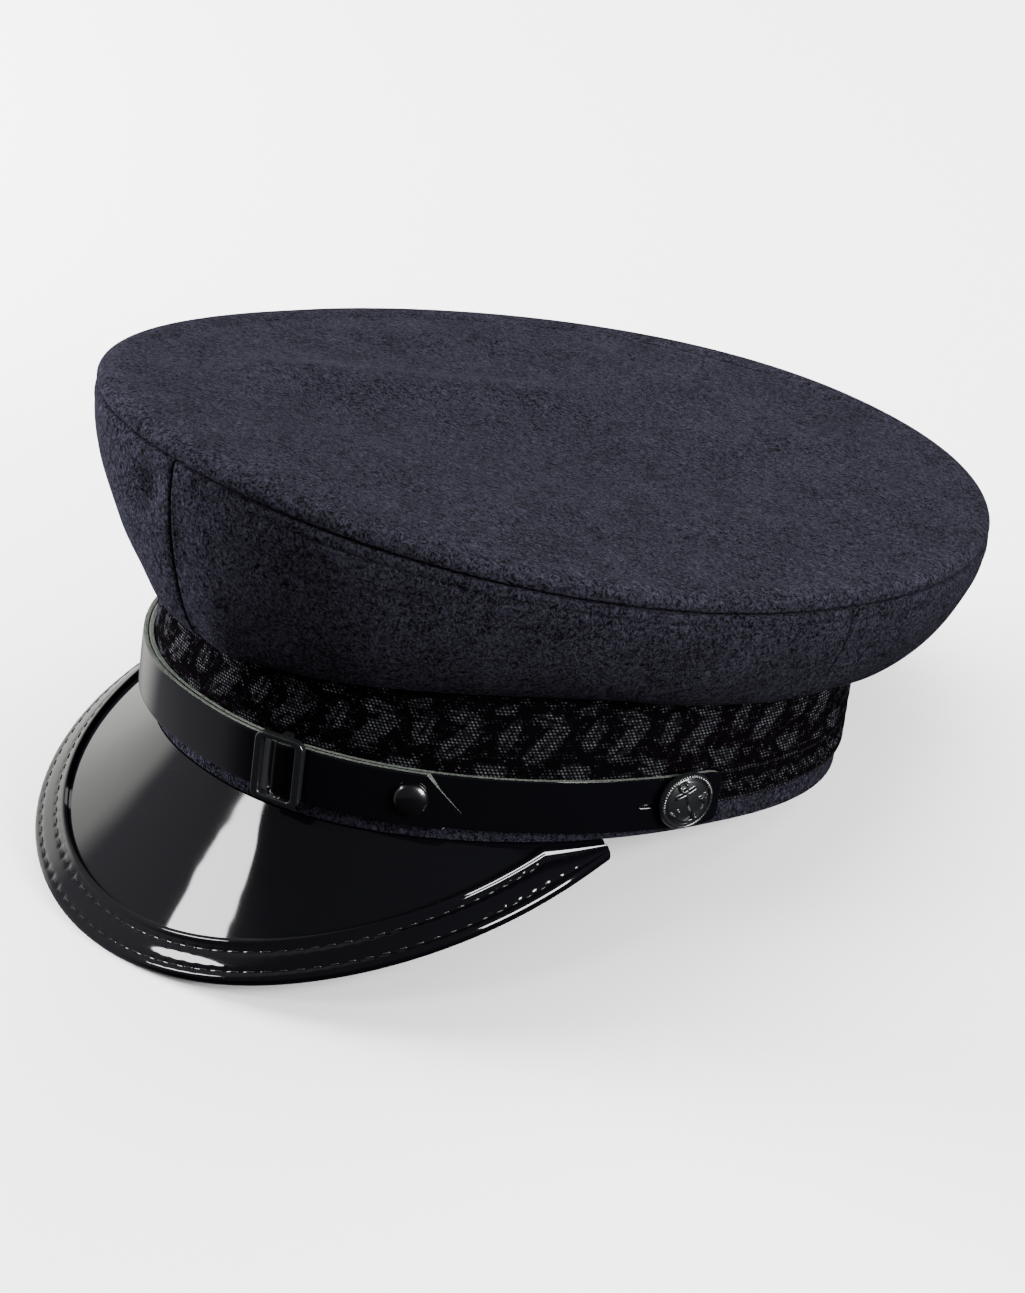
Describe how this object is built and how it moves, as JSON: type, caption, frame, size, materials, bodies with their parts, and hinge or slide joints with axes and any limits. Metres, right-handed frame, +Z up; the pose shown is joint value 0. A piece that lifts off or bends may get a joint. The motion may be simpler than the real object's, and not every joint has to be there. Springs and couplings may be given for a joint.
{
  "type": "skipper cap",
  "caption": "Skipper cap with a wide soft navy wool crown, black leaf-pattern braid, gloss black bound peak and a chin strap held by slides, studs and anchor buttons.",
  "frame": {"origin": "under the middle of the whole cap, on the surface that it lies on", "axes": "+Z up from the surface, the front and its peak towards -Y, the wearer's left towards +X"},
  "size_m": [0.226, 0.2882, 0.1347],
  "materials": {
    "navy_wool": "matte",
    "black_braid": "satin",
    "patent_leather": "gloss",
    "black_lacquer": "gloss"
  },
  "bodies": {
    "root": {"crown_top": "navy_wool", "side_front_left": "navy_wool", "side_back_left": "navy_wool", "side_back_right": "navy_wool", "side_front_right": "navy_wool", "hat_band": "navy_wool", "braid": "black_braid", "peak": "patent_leather", "peak_binding": "patent_leather", "chin_strap": "patent_leather", "strap_overlay": "patent_leather", "slide_left": "black_lacquer", "slide_right": "black_lacquer", "stud_left": "black_lacquer", "stud_right": "black_lacquer", "button_left": "black_lacquer", "button_right": "black_lacquer"}
  },
  "joints": []
}
